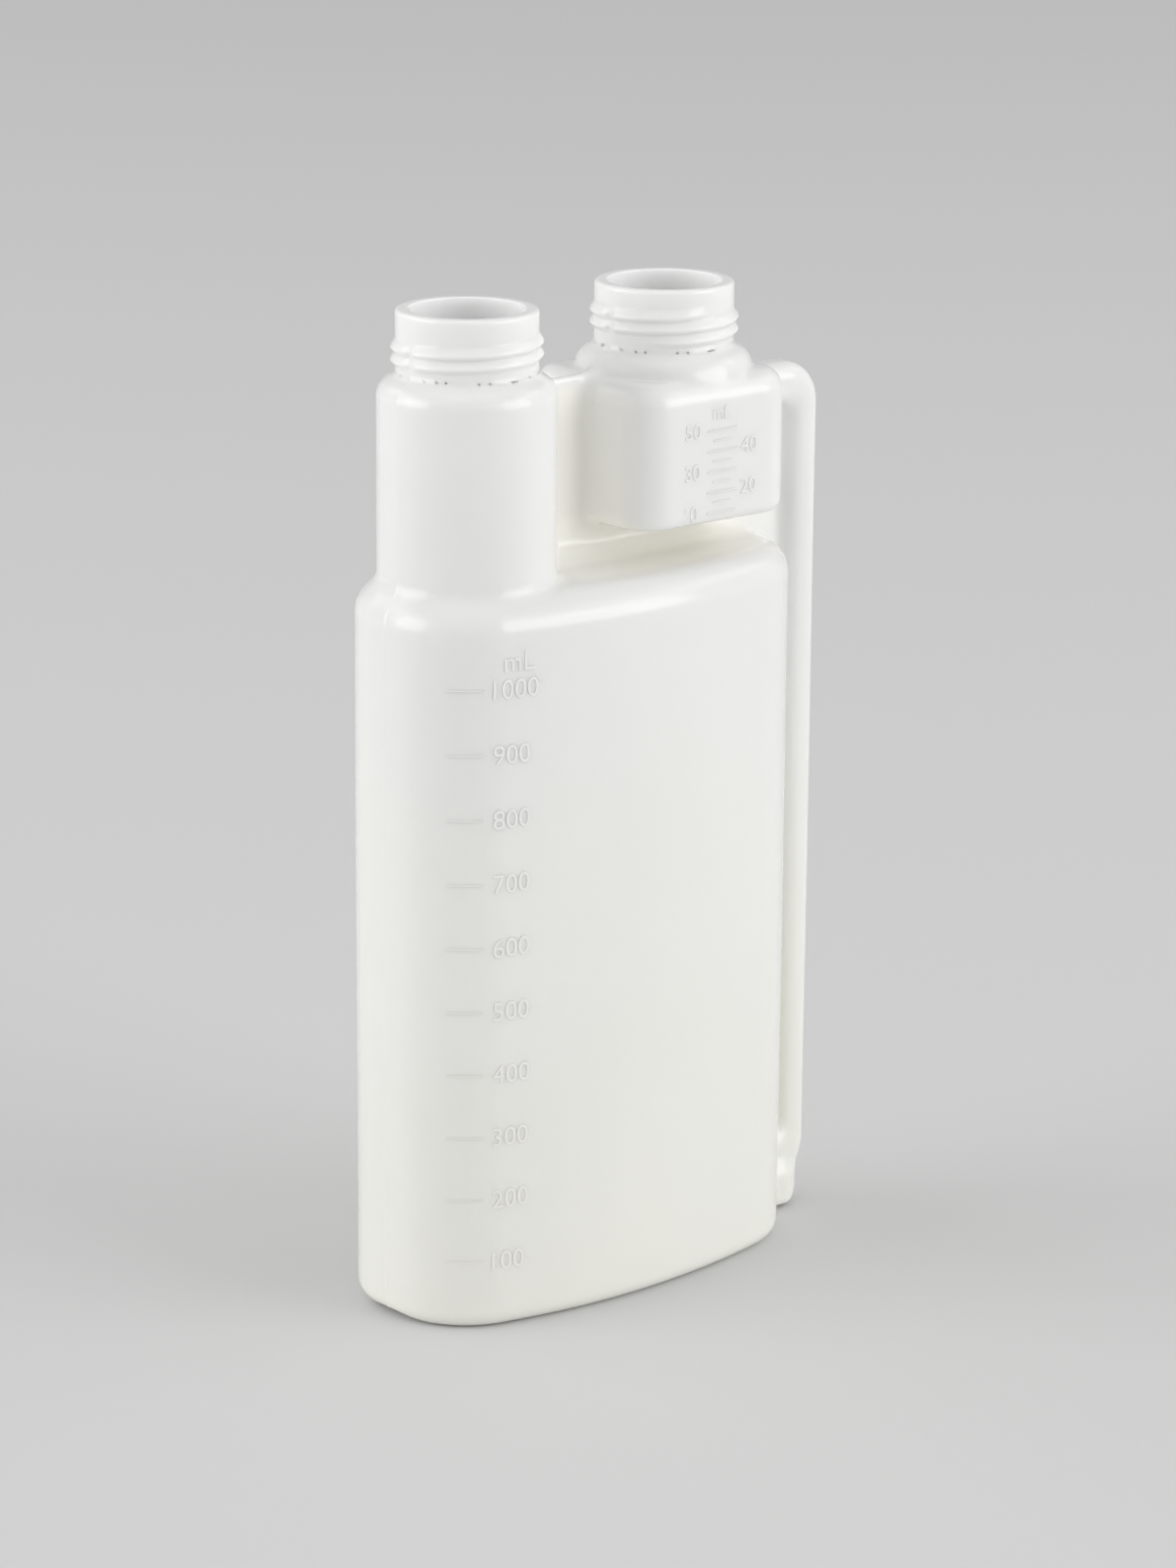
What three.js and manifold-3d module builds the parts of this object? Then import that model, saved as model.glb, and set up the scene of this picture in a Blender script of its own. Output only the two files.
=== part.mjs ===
import * as THREE from 'three';
import { mergeVertices } from 'three/addons/utils/BufferGeometryUtils.js';
import Module from 'manifold-3d';

// A blow-moulded plastic dosing bottle with two threaded necks, in millimetres, +Z up.
// One neck fills the body through a round column. The other closes a small measuring
// chamber, which a side tube feeds from the foot of the body. It is all one thin shell.

// Walls
const WALL = 1.2;
const WEB_THICKNESS = 2.4;
const WEB_ABOVE_SHOULDER = 0.6;

// Body: its plan is a closed outline of tangent arcs
const BODY_LENGTH = 122.6;
const BODY_DEPTH = 62.2;
const BODY_HEIGHT = 186.5;
const BODY_FRONT_RADIUS = 183.2;
const BODY_END_RADIUS = 78.1;
const BODY_CORNER_RADIUS = 23.3;
const BODY_SHOULDER_RADIUS = 8;
const BODY_BASE_RADIUS = 4.7;
const BASE_CHANNEL_WIDTH = 20;
const BASE_CHANNEL_DEPTH = 1.5;

// Column that carries the filling neck
const COLUMN_RADIUS = 22.1;
const COLUMN_HEIGHT = 46;
const COLUMN_FROM_BODY_END = 26.2;

// Measuring chamber that carries the dosing neck
const CHAMBER_LENGTH = 51;
const CHAMBER_DEPTH = 48;
const CHAMBER_CORNER_RADIUS = 10;
const CHAMBER_TOP_RADIUS = 5.5;
const CHAMBER_BASE_RADIUS = 2.7;
const CHAMBER_ABOVE_BODY = 9.5;
const CHAMBER_NECK_OFFSET = 1.5;

// Side tube, its bridge into the chamber and its link into the foot of the body
const TUBE_WIDTH = 9.3;
const TUBE_DEPTH = 12;
const TUBE_EDGE_RADIUS = 4.1;
const TUBE_BEND_RADIUS = 11;
const TUBE_INNER_RADIUS = 3.5;
const TUBE_HEEL_RADIUS = 4.6;
const TUBE_FOOT_TAPER = 2.8;
const TUBE_TAPER_HEIGHT = 15;
const TUBE_FROM_BODY_END = 7.7;
const TUBE_BELOW_SHOULDER = 3.7;
const TUBE_ABOVE_FLOOR = 0.5;
const BRIDGE_LENGTH = 16.3;
const BRIDGE_HEIGHT = 11;
const LINK_HEIGHT = 21;
const FLARE_HEIGHT = 12;
const FLARE_DEPTH = 16;
const FLARE_CORNER_RADIUS = 5;
const FLARE_TOP_RADIUS = 4;
const FLARE_FOOT_RADIUS = 1.8;

// Necks and their threads
const NECK_RADIUS = 17.5;
const NECK_BORE_RADIUS = 14.2;
const NECK_HEIGHT = 15.1;
const NECK_EDGE_RADIUS = 0.9;
const NECK_SHOULDER_RISE = 6.3;
const SHOULDER_PULL_FROM_WALL = 0.4;
const SHOULDER_PULL_UP_TO_NECK = 0.62;
const SHOULDER_PULL_OUT_FROM_NECK = 0.5;
const THREAD_CREST_RADIUS = 18.7;
const THREAD_PITCH = 3.1;
const THREAD_ROOT_WIDTH = 2.2;
const THREAD_CREST_WIDTH = 0.8;
const THREAD_TURNS = 1.75;
const THREAD_ABOVE_SHOULDER = 2.4;
const FILLING_THREAD_START = 100;
const DOSING_THREAD_START = -90;

// Fineness of the curved faces
const CORNER_STEPS = 6;
const SIDE_STEPS = 6;
const EDGE_STEPS = 4;
const NECK_EDGE_STEPS = 2;
const ROUND_STEPS = 40;
const THREAD_STEPS_PER_TURN = 24;
const THREAD_FADE_STEPS = 3;
const CHANNEL_STEPS = 160;
const MERGE_DISTANCE = 1e-4;

// Places that follow from the sizes
const bodyEnd = BODY_LENGTH / 2;
const shoulderZ = BODY_HEIGHT + COLUMN_HEIGHT;
const neckBaseZ = shoulderZ + NECK_SHOULDER_RISE;
const rimZ = neckBaseZ + NECK_HEIGHT;
const columnX = -bodyEnd + COLUMN_FROM_BODY_END;
const tubeLeft = bodyEnd + TUBE_FROM_BODY_END;
const tubeRight = tubeLeft + TUBE_WIDTH;
const tubeTopZ = shoulderZ - TUBE_BELOW_SHOULDER;
const chamberRight = tubeLeft - BRIDGE_LENGTH;
const chamberLeft = chamberRight - CHAMBER_LENGTH;
const chamberX = (chamberLeft + chamberRight) / 2;
const chamberNeckX = chamberX + CHAMBER_NECK_OFFSET;
const chamberBaseZ = BODY_HEIGHT + CHAMBER_ABOVE_BODY;

const wasm = await Module();
wasm.setup();

function toSolid(geometry) {
  geometry.deleteAttribute('normal');
  geometry.deleteAttribute('uv');
  const merged = mergeVertices(geometry, MERGE_DISTANCE);
  return new wasm.Manifold(new wasm.Mesh({
    numProp: 3,
    vertProperties: new Float32Array(merged.attributes.position.array),
    triVerts: new Uint32Array(merged.index.array),
  }));
}

function toGeometry(solid) {
  const mesh = solid.getMesh();
  const geometry = new THREE.BufferGeometry();
  geometry.setAttribute('position', new THREE.BufferAttribute(mesh.vertProperties, 3));
  geometry.setIndex(new THREE.BufferAttribute(mesh.triVerts, 1));
  geometry.computeVertexNormals();
  return geometry;
}

const join = (solids) => solids.reduce((whole, solid) => whole.add(solid));

function arc(x, y, radius, from, to, steps) {
  return new THREE.EllipseCurve(x, y, radius, radius, from, to, false, 0).getPoints(steps);
}

// A closed skin through rings of equal count, from the lowest to the highest.
function loft(rings) {
  const count = rings[0].length;
  const positions = rings.flat().flatMap((p) => [p.x, p.y, p.z]);
  const index = [];
  for (let ring = 0; ring + 1 < rings.length; ring += 1) {
    for (let i = 0; i < count; i += 1) {
      const next = (i + 1) % count;
      const low = ring * count;
      const high = low + count;
      index.push(low + i, low + next, high + next, low + i, high + next, high + i);
    }
  }
  const last = (rings.length - 1) * count;
  for (let i = 1; i + 1 < count; i += 1) {
    index.push(0, i + 1, i, last, last + i, last + i + 1);
  }
  const geometry = new THREE.BufferGeometry();
  geometry.setAttribute('position', new THREE.Float32BufferAttribute(positions, 3));
  geometry.setIndex(index);
  return toSolid(geometry);
}

// An upright block with a rounded foot and a rounded top, whose plan is outline(inset).
function roundedBlock(outline, bottomZ, topZ, footRadius, topRadius, wall) {
  const foot = footRadius - wall;
  const top = topRadius - wall;
  const ring = (z, inset) => outline(inset).map((p) => new THREE.Vector3(p.x, p.y, z));
  const rings = [];
  for (let step = 0; step <= EDGE_STEPS; step += 1) {
    const turn = (step / EDGE_STEPS) * (Math.PI / 2);
    rings.push(ring(bottomZ + wall + foot * (1 - Math.cos(turn)), wall + foot * (1 - Math.sin(turn))));
  }
  for (let step = 0; step <= EDGE_STEPS; step += 1) {
    const turn = (step / EDGE_STEPS) * (Math.PI / 2);
    rings.push(ring(topZ - wall - top * (1 - Math.sin(turn)), wall + top * (1 - Math.cos(turn))));
  }
  return loft(rings);
}

// The corner arc touches the end arc and the front arc from inside.
function bodyCornerCentre() {
  const endCentre = new THREE.Vector2(bodyEnd - BODY_END_RADIUS, 0);
  const frontCentre = new THREE.Vector2(0, BODY_DEPTH / 2 - BODY_FRONT_RADIUS);
  const fromEnd = BODY_END_RADIUS - BODY_CORNER_RADIUS;
  const fromFront = BODY_FRONT_RADIUS - BODY_CORNER_RADIUS;
  const between = endCentre.clone().sub(frontCentre);
  const span = between.length();
  const along = (fromFront ** 2 - fromEnd ** 2 + span ** 2) / (2 * span);
  const aside = Math.sqrt(fromFront ** 2 - along ** 2);
  const unit = between.divideScalar(span);
  const corner = frontCentre.clone().addScaledVector(unit, along);
  return corner.add(new THREE.Vector2(unit.y, -unit.x).multiplyScalar(aside));
}

function bodyOutline(inset) {
  const corner = bodyCornerCentre();
  const endX = bodyEnd - BODY_END_RADIUS;
  const frontY = BODY_DEPTH / 2 - BODY_FRONT_RADIUS;
  const toEnd = Math.atan2(corner.y, corner.x - endX);
  const toFront = Math.atan2(corner.y - frontY, corner.x);
  const endRadius = BODY_END_RADIUS - inset;
  const frontRadius = BODY_FRONT_RADIUS - inset;
  const cornerRadius = BODY_CORNER_RADIUS - inset;
  const half = [
    ...arc(endX, 0, endRadius, -toEnd, toEnd, SIDE_STEPS),
    ...arc(corner.x, corner.y, cornerRadius, toEnd, toFront, CORNER_STEPS).slice(1, -1),
    ...arc(0, frontY, frontRadius, toFront, Math.PI - toFront, SIDE_STEPS),
    ...arc(-corner.x, corner.y, cornerRadius, Math.PI - toFront, Math.PI - toEnd, CORNER_STEPS).slice(1, -1),
  ];
  return [...half, ...half.map((p) => new THREE.Vector2(-p.x, -p.y))];
}

function rectangleOutline(centreX, length, depth, cornerRadius, inset) {
  const x = length / 2 - cornerRadius;
  const y = depth / 2 - cornerRadius;
  const quarter = Math.PI / 2;
  const corners = [[x, y], [-x, y], [-x, -y], [x, -y]];
  return corners.flatMap(([cx, cy], i) => arc(
    centreX + cx, cy, cornerRadius - inset, i * quarter, (i + 1) * quarter, CORNER_STEPS,
  ));
}

const body = (wall) => roundedBlock(
  bodyOutline, 0, BODY_HEIGHT, BODY_BASE_RADIUS, BODY_SHOULDER_RADIUS, wall,
);

const chamber = (wall) => roundedBlock(
  (inset) => rectangleOutline(chamberX, CHAMBER_LENGTH, CHAMBER_DEPTH, CHAMBER_CORNER_RADIUS, inset),
  chamberBaseZ, shoulderZ, CHAMBER_BASE_RADIUS, CHAMBER_TOP_RADIUS, wall,
);

// The broad low flare between the foot of the body and the foot of the tube.
function flare(wall) {
  const length = 2 * TUBE_FROM_BODY_END + TUBE_WIDTH;
  return roundedBlock(
    (inset) => rectangleOutline(bodyEnd, length, FLARE_DEPTH, FLARE_CORNER_RADIUS, inset),
    TUBE_ABOVE_FLOOR, TUBE_ABOVE_FLOOR + FLARE_HEIGHT, FLARE_FOOT_RADIUS, FLARE_TOP_RADIUS, wall,
  );
}

// The shallow hollow along the base where the mould pinches the plastic shut.
function baseChannel(wall) {
  const radius = (BASE_CHANNEL_WIDTH ** 2 / 4 + BASE_CHANNEL_DEPTH ** 2) / (2 * BASE_CHANNEL_DEPTH);
  const geometry = new THREE.CylinderGeometry(radius + wall, radius + wall, 2 * BODY_LENGTH, CHANNEL_STEPS);
  geometry.rotateZ(Math.PI / 2);
  geometry.translate(0, 0, BASE_CHANNEL_DEPTH - radius);
  return toSolid(geometry);
}

// The round shoulder between a wall of the column's radius and a neck.
function shoulderProfile(radius, neckRadius, z) {
  const rise = NECK_SHOULDER_RISE;
  const run = radius - neckRadius;
  return new THREE.CubicBezierCurve(
    new THREE.Vector2(radius, z),
    new THREE.Vector2(radius, z + rise * SHOULDER_PULL_FROM_WALL),
    new THREE.Vector2(neckRadius + run * SHOULDER_PULL_OUT_FROM_NECK, z + rise * SHOULDER_PULL_UP_TO_NECK),
    new THREE.Vector2(neckRadius, z + rise),
  ).getPoints(EDGE_STEPS);
}

function turned(profile, x) {
  const geometry = new THREE.LatheGeometry(profile, ROUND_STEPS);
  geometry.rotateX(Math.PI / 2);
  geometry.translate(x, 0, 0);
  return toSolid(geometry);
}

function neckOutside(x, bottomZ) {
  const edge = new THREE.EllipseCurve(
    NECK_RADIUS - NECK_EDGE_RADIUS, rimZ - NECK_EDGE_RADIUS, NECK_EDGE_RADIUS, NECK_EDGE_RADIUS,
    0, Math.PI / 2, false, 0,
  ).getPoints(NECK_EDGE_STEPS);
  return turned([
    new THREE.Vector2(0, bottomZ),
    new THREE.Vector2(COLUMN_RADIUS, bottomZ),
    ...shoulderProfile(COLUMN_RADIUS, NECK_RADIUS, shoulderZ),
    ...edge,
    new THREE.Vector2(0, rimZ),
  ], x);
}

function neckInside(x, bottomZ) {
  const radius = COLUMN_RADIUS - WALL;
  return turned([
    new THREE.Vector2(0, bottomZ),
    new THREE.Vector2(radius, bottomZ),
    ...shoulderProfile(radius, NECK_BORE_RADIUS, shoulderZ - WALL),
    new THREE.Vector2(NECK_BORE_RADIUS, rimZ + WALL),
    new THREE.Vector2(0, rimZ + WALL),
  ], x);
}

// A ridge that climbs round a neck and fades into it at both ends.
function thread(x, startDegrees) {
  const steps = Math.round(THREAD_TURNS * THREAD_STEPS_PER_TURN);
  const rings = [];
  for (let step = 0; step <= steps; step += 1) {
    const turn = startDegrees * (Math.PI / 180) + (step / THREAD_STEPS_PER_TURN) * 2 * Math.PI;
    const z = neckBaseZ + THREAD_ABOVE_SHOULDER + (THREAD_PITCH * step) / THREAD_STEPS_PER_TURN;
    const fromEnd = Math.min(step, steps - step) + 1 / 2;
    const fade = Math.min(1, fromEnd / THREAD_FADE_STEPS);
    const root = NECK_RADIUS - WALL / 2;
    const crest = NECK_RADIUS + (THREAD_CREST_RADIUS - NECK_RADIUS) * fade;
    const section = [
      [root, -THREAD_ROOT_WIDTH / 2], [crest, -THREAD_CREST_WIDTH / 2],
      [crest, THREAD_CREST_WIDTH / 2], [root, THREAD_ROOT_WIDTH / 2],
    ];
    rings.push(section.map(([radius, rise]) => new THREE.Vector3(
      x + radius * Math.cos(turn), radius * Math.sin(turn), z + rise,
    )));
  }
  return loft(rings.map((ring) => ring.reverse()));
}

// The tube's side view with its bridge and its way into the body, made into a rounded bar.
function transferTube(wall) {
  const bridgeBaseZ = tubeTopZ - BRIDGE_HEIGHT;
  const linkTopZ = TUBE_ABOVE_FLOOR + LINK_HEIGHT;
  const heelX = tubeRight - TUBE_FOOT_TAPER - TUBE_HEEL_RADIUS;
  const heelZ = TUBE_ABOVE_FLOOR + TUBE_HEEL_RADIUS;
  const chamberSide = chamberRight - CHAMBER_CORNER_RADIUS;
  const bodySide = bodyEnd - BODY_BASE_RADIUS - WALL;
  const innerX = tubeLeft - TUBE_INNER_RADIUS;
  const side = new THREE.Shape();
  side.moveTo(chamberSide, tubeTopZ);
  side.lineTo(chamberSide, bridgeBaseZ);
  side.absarc(innerX, bridgeBaseZ - TUBE_INNER_RADIUS, TUBE_INNER_RADIUS, Math.PI / 2, 0, true);
  side.absarc(innerX, linkTopZ + TUBE_INNER_RADIUS, TUBE_INNER_RADIUS, 0, -Math.PI / 2, true);
  side.lineTo(bodySide, linkTopZ);
  side.lineTo(bodySide, TUBE_ABOVE_FLOOR);
  side.absarc(heelX, heelZ, TUBE_HEEL_RADIUS, -Math.PI / 2, 0, false);
  side.lineTo(tubeRight, TUBE_ABOVE_FLOOR + TUBE_TAPER_HEIGHT);
  side.absarc(
    tubeRight - TUBE_BEND_RADIUS, tubeTopZ - TUBE_BEND_RADIUS, TUBE_BEND_RADIUS, 0, Math.PI / 2, false,
  );
  const round = TUBE_EDGE_RADIUS - wall;
  const flat = TUBE_DEPTH - 2 * TUBE_EDGE_RADIUS;
  const geometry = new THREE.ExtrudeGeometry(side, {
    depth: flat,
    curveSegments: CORNER_STEPS / 2,
    bevelSize: round,
    bevelThickness: round,
    bevelOffset: -TUBE_EDGE_RADIUS,
    bevelSegments: EDGE_STEPS - 1,
  });
  geometry.rotateX(Math.PI / 2);
  geometry.translate(0, flat / 2, 0);
  return toSolid(geometry);
}

function slab(fromX, toX, fromZ, toZ) {
  const geometry = new THREE.BoxGeometry(toX - fromX, WEB_THICKNESS, toZ - fromZ);
  geometry.translate((fromX + toX) / 2, 0, (fromZ + toZ) / 2);
  return toSolid(geometry);
}

// The pinched flat panel that ties the column, chamber, tube and body together.
function web() {
  const footZ = BODY_HEIGHT - BODY_SHOULDER_RADIUS;
  const intoTube = tubeLeft + WEB_THICKNESS;
  return join([
    slab(columnX, chamberX, footZ, shoulderZ + WEB_ABOVE_SHOULDER),
    slab(chamberX, intoTube, footZ, tubeTopZ - BRIDGE_HEIGHT / 2),
    slab(bodyEnd - BODY_SHOULDER_RADIUS, intoTube, LINK_HEIGHT / 2, BODY_HEIGHT),
  ]);
}

function bottle() {
  const columnFootZ = BODY_HEIGHT - BODY_SHOULDER_RADIUS;
  const chamberNeckFootZ = shoulderZ - CHAMBER_TOP_RADIUS;
  const outside = join([
    body(0),
    neckOutside(columnX, columnFootZ),
    thread(columnX, FILLING_THREAD_START),
    chamber(0),
    neckOutside(chamberNeckX, chamberNeckFootZ),
    thread(chamberNeckX, DOSING_THREAD_START),
    transferTube(0),
    flare(0),
    web(),
  ]).subtract(baseChannel(0));
  const inside = join([
    body(WALL),
    neckInside(columnX, columnFootZ),
    chamber(WALL),
    neckInside(chamberNeckX, chamberNeckFootZ),
    transferTube(WALL),
    flare(WALL),
  ]).subtract(baseChannel(WALL));
  return outside.subtract(inside);
}

const plastic = new THREE.MeshStandardMaterial({ color: 0xe6e6e2, roughness: 0.42, metalness: 0 });

const bottleMesh = new THREE.Mesh(toGeometry(bottle()), plastic);
bottleMesh.name = 'bottle';
bottleMesh.position.x = -(tubeRight - bodyEnd) / 2;

const twoNeckBottle = new THREE.Group();
twoNeckBottle.add(bottleMesh);

export default twoNeckBottle;
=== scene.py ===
"""A milky plastic dosing bottle with two threaded necks, on a pale floor in soft light."""
import math

import bpy
import numpy as np
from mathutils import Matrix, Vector


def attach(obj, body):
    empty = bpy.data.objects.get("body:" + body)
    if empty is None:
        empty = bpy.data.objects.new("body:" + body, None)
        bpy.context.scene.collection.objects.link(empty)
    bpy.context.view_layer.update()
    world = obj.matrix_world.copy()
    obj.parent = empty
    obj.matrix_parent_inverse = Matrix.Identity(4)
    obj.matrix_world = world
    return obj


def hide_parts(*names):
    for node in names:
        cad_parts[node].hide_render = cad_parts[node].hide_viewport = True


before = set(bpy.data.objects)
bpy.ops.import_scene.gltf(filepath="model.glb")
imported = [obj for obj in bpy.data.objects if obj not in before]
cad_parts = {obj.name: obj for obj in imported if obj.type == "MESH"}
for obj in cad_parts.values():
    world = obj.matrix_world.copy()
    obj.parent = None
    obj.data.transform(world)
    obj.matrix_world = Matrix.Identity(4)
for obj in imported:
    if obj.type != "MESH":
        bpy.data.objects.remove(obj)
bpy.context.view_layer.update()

MM = 0.001

# Sizes in millimetres, with the body centred on the Z axis as in the part's source
WALL = 1.2
WEB_THICKNESS = 2.4
WEB_ABOVE_SHOULDER = 0.6
BODY_LENGTH = 122.6
BODY_DEPTH = 62.2
BODY_HEIGHT = 186.5
BODY_FRONT_RADIUS = 183.2
BODY_END_RADIUS = 78.1
BODY_CORNER_RADIUS = 23.3
BODY_SHOULDER_RADIUS = 8.0
BODY_BASE_RADIUS = 4.7
BASE_CHANNEL_WIDTH = 20.0
BASE_CHANNEL_DEPTH = 1.5
COLUMN_RADIUS = 22.1
COLUMN_HEIGHT = 46.0
COLUMN_FROM_BODY_END = 26.2
CHAMBER_LENGTH = 51.0
CHAMBER_DEPTH = 48.0
CHAMBER_CORNER_RADIUS = 10.0
CHAMBER_TOP_RADIUS = 5.5
CHAMBER_BASE_RADIUS = 2.7
CHAMBER_ABOVE_BODY = 9.5
CHAMBER_NECK_OFFSET = 1.5
TUBE_WIDTH = 9.3
TUBE_DEPTH = 12.0
TUBE_EDGE_RADIUS = 4.1
TUBE_BEND_RADIUS = 11.0
TUBE_HEEL_RADIUS = 4.6
TUBE_FOOT_TAPER = 2.8
TUBE_TAPER_FOOT_Z = 7.0
TUBE_TAPER_TOP_Z = 18.0
TUBE_FROM_BODY_END = 7.7
TUBE_BELOW_SHOULDER = 3.7
TUBE_ABOVE_FLOOR = 0.5
BRIDGE_LENGTH = 16.3
BRIDGE_HEIGHT = 11.0
LINK_HEIGHT = 21.0
FLARE_HEIGHT = 12.0
FLARE_DEPTH = 16.0
FLARE_CORNER_RADIUS = 5.0
FLARE_TOP_RADIUS = 4.0
FLARE_FOOT_RADIUS = 1.8
NECK_RADIUS = 17.5
NECK_BORE_RADIUS = 14.2
NECK_HEIGHT = 15.1
NECK_EDGE_RADIUS = 0.9
NECK_SHOULDER_RISE = 6.3
SHOULDER_ROUND = 5.0
SHOULDER_CAP_RISE = 5.1
THREAD_HEIGHT = 1.2
THREAD_PITCH = 3.1
THREAD_REACH_UP = 2.3
THREAD_REACH_DOWN = 1.4
THREAD_TURNS = 2.17
THREAD_ABOVE_SHOULDER = 2.0
THREAD_GAP = 2.2
THREAD_RUNOUTS = 9.0  # how many run-outs would fill one turn
FILLING_THREAD_START = 72.0
DOSING_THREAD_START = -153.0

# Blends between the forms, in millimetres
FOOT_BLEND = 3.2
WEB_BLEND = 3.0
WEB_FOOT_BLEND = 7.0
WEB_FOOT_RUN = 12.0
WEB_FOOT_RISE = 12.0
WEB_FOOT_TOP = 5.0
WEB_SIDE_SHARE = 0.4  # of the foot's extra blend, kept higher up
NECK_BLEND = 1.8
SHOULDER_BLEND = 1.6
TUBE_BLEND = 5.0
CHANNEL_BLEND = 1.0

# Small departures of the blown surface: its waviness, as millimetres along each axis for one
# radian of a wave, and the ridge of the parting line
WAVE_HEIGHT = 0.07
WAVE_LONG_X = 17.0
WAVE_LONG_Z = 23.0
WAVE_SHORT_X = 9.5
WAVE_SHORT_Y = 11.0
WAVE_SHORT_Z = 31.0
WAVE_START_X = 1.3
WAVE_START_Z = 0.4
WAVE_CALM_RUN = 20.0
RIDGE_HEIGHT = 0.1
RIDGE_WIDTH = 0.35
PINCH_HEIGHT = 0.45

# Raised volume marks: places along the front from the body's left end, and heights
MARK_RAISE = 0.12
MARK_SINK = 0.35
MARK_EDGE = 0.08
TICK_RAISE = 0.22
TICK_EDGE = 0.16
TICK_THICKNESS = 0.55
TICK_STATIONS = 13
BODY_MARK_COUNT = 10
BODY_MARK_VOLUME = 100
BODY_TICK_FROM = 18.8
BODY_TICK_TO = 27.9
BODY_LABEL_FROM = 30.4
BODY_DIGIT_HEIGHT = 4.8
BODY_TOP_MARK_Z = 165.3
BODY_MARK_STEP = 16.33
BODY_UNIT_FROM = 33.3
BODY_UNIT_Z = 169.6
CHAMBER_MARK_COUNT = 5
CHAMBER_MARK_VOLUME = 10
CHAMBER_TOP_MARK_Z = 219.7
CHAMBER_MARK_STEP = 5.19
CHAMBER_LONG_TICK = 9.8
CHAMBER_SHORT_TICK = 6.0
CHAMBER_DIGIT_HEIGHT = 3.9
CHAMBER_LABEL_LEFT = 14.9
CHAMBER_LABEL_RIGHT = 33.4
CHAMBER_LABEL_RISE = 0.5
CHAMBER_UNIT_FROM = 24.0
CHAMBER_UNIT_Z = 222.5
CHAMBER_UNIT_HEIGHT = 3.4
CAPITAL_SHARE = 0.7  # height of a capital over the typeface's size
LOW_MARK_SHARE = 0.35  # how much of a mark would be left at the foot

# Painted light: places where the base colour is made paler to stand in for light coming through the
# plastic, given as run-in and run-out lengths of the lit places
GAP_BEHIND_COLUMN = 4.0
GAP_COLUMN_RUN = 6.0
GAP_PAST_CHAMBER = 8.0
GAP_CHAMBER_RUN = 16.0
GAP_BELOW_BODY_TOP = 5.0
GAP_TOP_RUN = 4.0
GAP_UPPER_SHARE = 0.5
GAP_PAST_FRONT = 1.0
GAP_DEPTH_RUN = 10.0
BORE_PAST_WALL = 0.6
BORE_WALL_RUN = 0.4

# Meshing: (from, to, step) stretches of the grids, and the rings of a neck
OUTER_HEIGHTS = (
    (-1.4, 26, 0.9), (26, 172, 5), (172, 200, 0.85), (200, 208, 2), (208, 239, 0.85))
OUTER_WIDTHS = ((-63, 81, 1.2),)
OUTER_DEPTHS = (
    (-33, -8.4, 1.2), (-8.4, -1.2, 0.8), (-1.2, 1.2, 0.4), (1.2, 8.4, 0.8), (8.4, 33, 1.2))
INNER_HEIGHTS = (
    (-1.4, 12, 2.2), (12, 170, 8), (170, 188, 2.2), (188, 208, 2.2), (208, 239, 2.2))
INNER_WIDTHS = ((-63, 81, 2.3),)
INNER_DEPTHS = ((-33, 33, 2.3),)
RINGS_FOOT_Z = 239.4
WALL_RINGS = 56
EDGE_RINGS = 5
BORE_RINGS = 9
TURN_STEPS = 128
PROBE = 0.02
LEAST_SLOPE_SQUARED = 0.05

body_end = BODY_LENGTH / 2
shoulder_z = BODY_HEIGHT + COLUMN_HEIGHT
neck_base_z = shoulder_z + NECK_SHOULDER_RISE
rim_z = neck_base_z + NECK_HEIGHT
column_x = -body_end + COLUMN_FROM_BODY_END
tube_left = body_end + TUBE_FROM_BODY_END
tube_right = tube_left + TUBE_WIDTH
tube_top_z = shoulder_z - TUBE_BELOW_SHOULDER
chamber_right = tube_left - BRIDGE_LENGTH
chamber_x = chamber_right - CHAMBER_LENGTH / 2
chamber_neck_x = chamber_x + CHAMBER_NECK_OFFSET
chamber_base_z = BODY_HEIGHT + CHAMBER_ABOVE_BODY
shift_x = -(tube_right - body_end) / 2


# Distance functions: negative inside, in millimetres

def smooth_union(a, b, blend):
    near = np.maximum(blend - np.abs(a - b), 0) / blend
    return np.minimum(a, b) - near * near * blend / 4


def smooth_cut(a, b, blend):
    return -smooth_union(-a, -b, blend)


def rounded_corner(across, up, radius):
    """Joins a side distance and a height distance with a round edge."""
    out = np.hypot(np.maximum(across + radius, 0), np.maximum(up + radius, 0))
    return np.minimum(np.maximum(across, up) + radius, 0) + out - radius


def body_corner():
    """Centre of the arc that touches the end arc and the front arc from inside."""
    end = np.array([body_end - BODY_END_RADIUS, 0.0])
    front = np.array([0.0, BODY_DEPTH / 2 - BODY_FRONT_RADIUS])
    from_end = BODY_END_RADIUS - BODY_CORNER_RADIUS
    from_front = BODY_FRONT_RADIUS - BODY_CORNER_RADIUS
    between = end - front
    span = np.hypot(*between)
    along = (from_front ** 2 - from_end ** 2 + span ** 2) / (2 * span)
    aside = math.sqrt(from_front ** 2 - along ** 2)
    unit = between / span
    return front + unit * along + np.array([unit[1], -unit[0]]) * aside


CORNER = body_corner()
END_X = body_end - BODY_END_RADIUS
FRONT_Y = BODY_DEPTH / 2 - BODY_FRONT_RADIUS
END_TURN = math.atan2(CORNER[1], CORNER[0] - END_X)
FRONT_TURN = math.atan2(CORNER[1] - FRONT_Y, CORNER[0])


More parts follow.
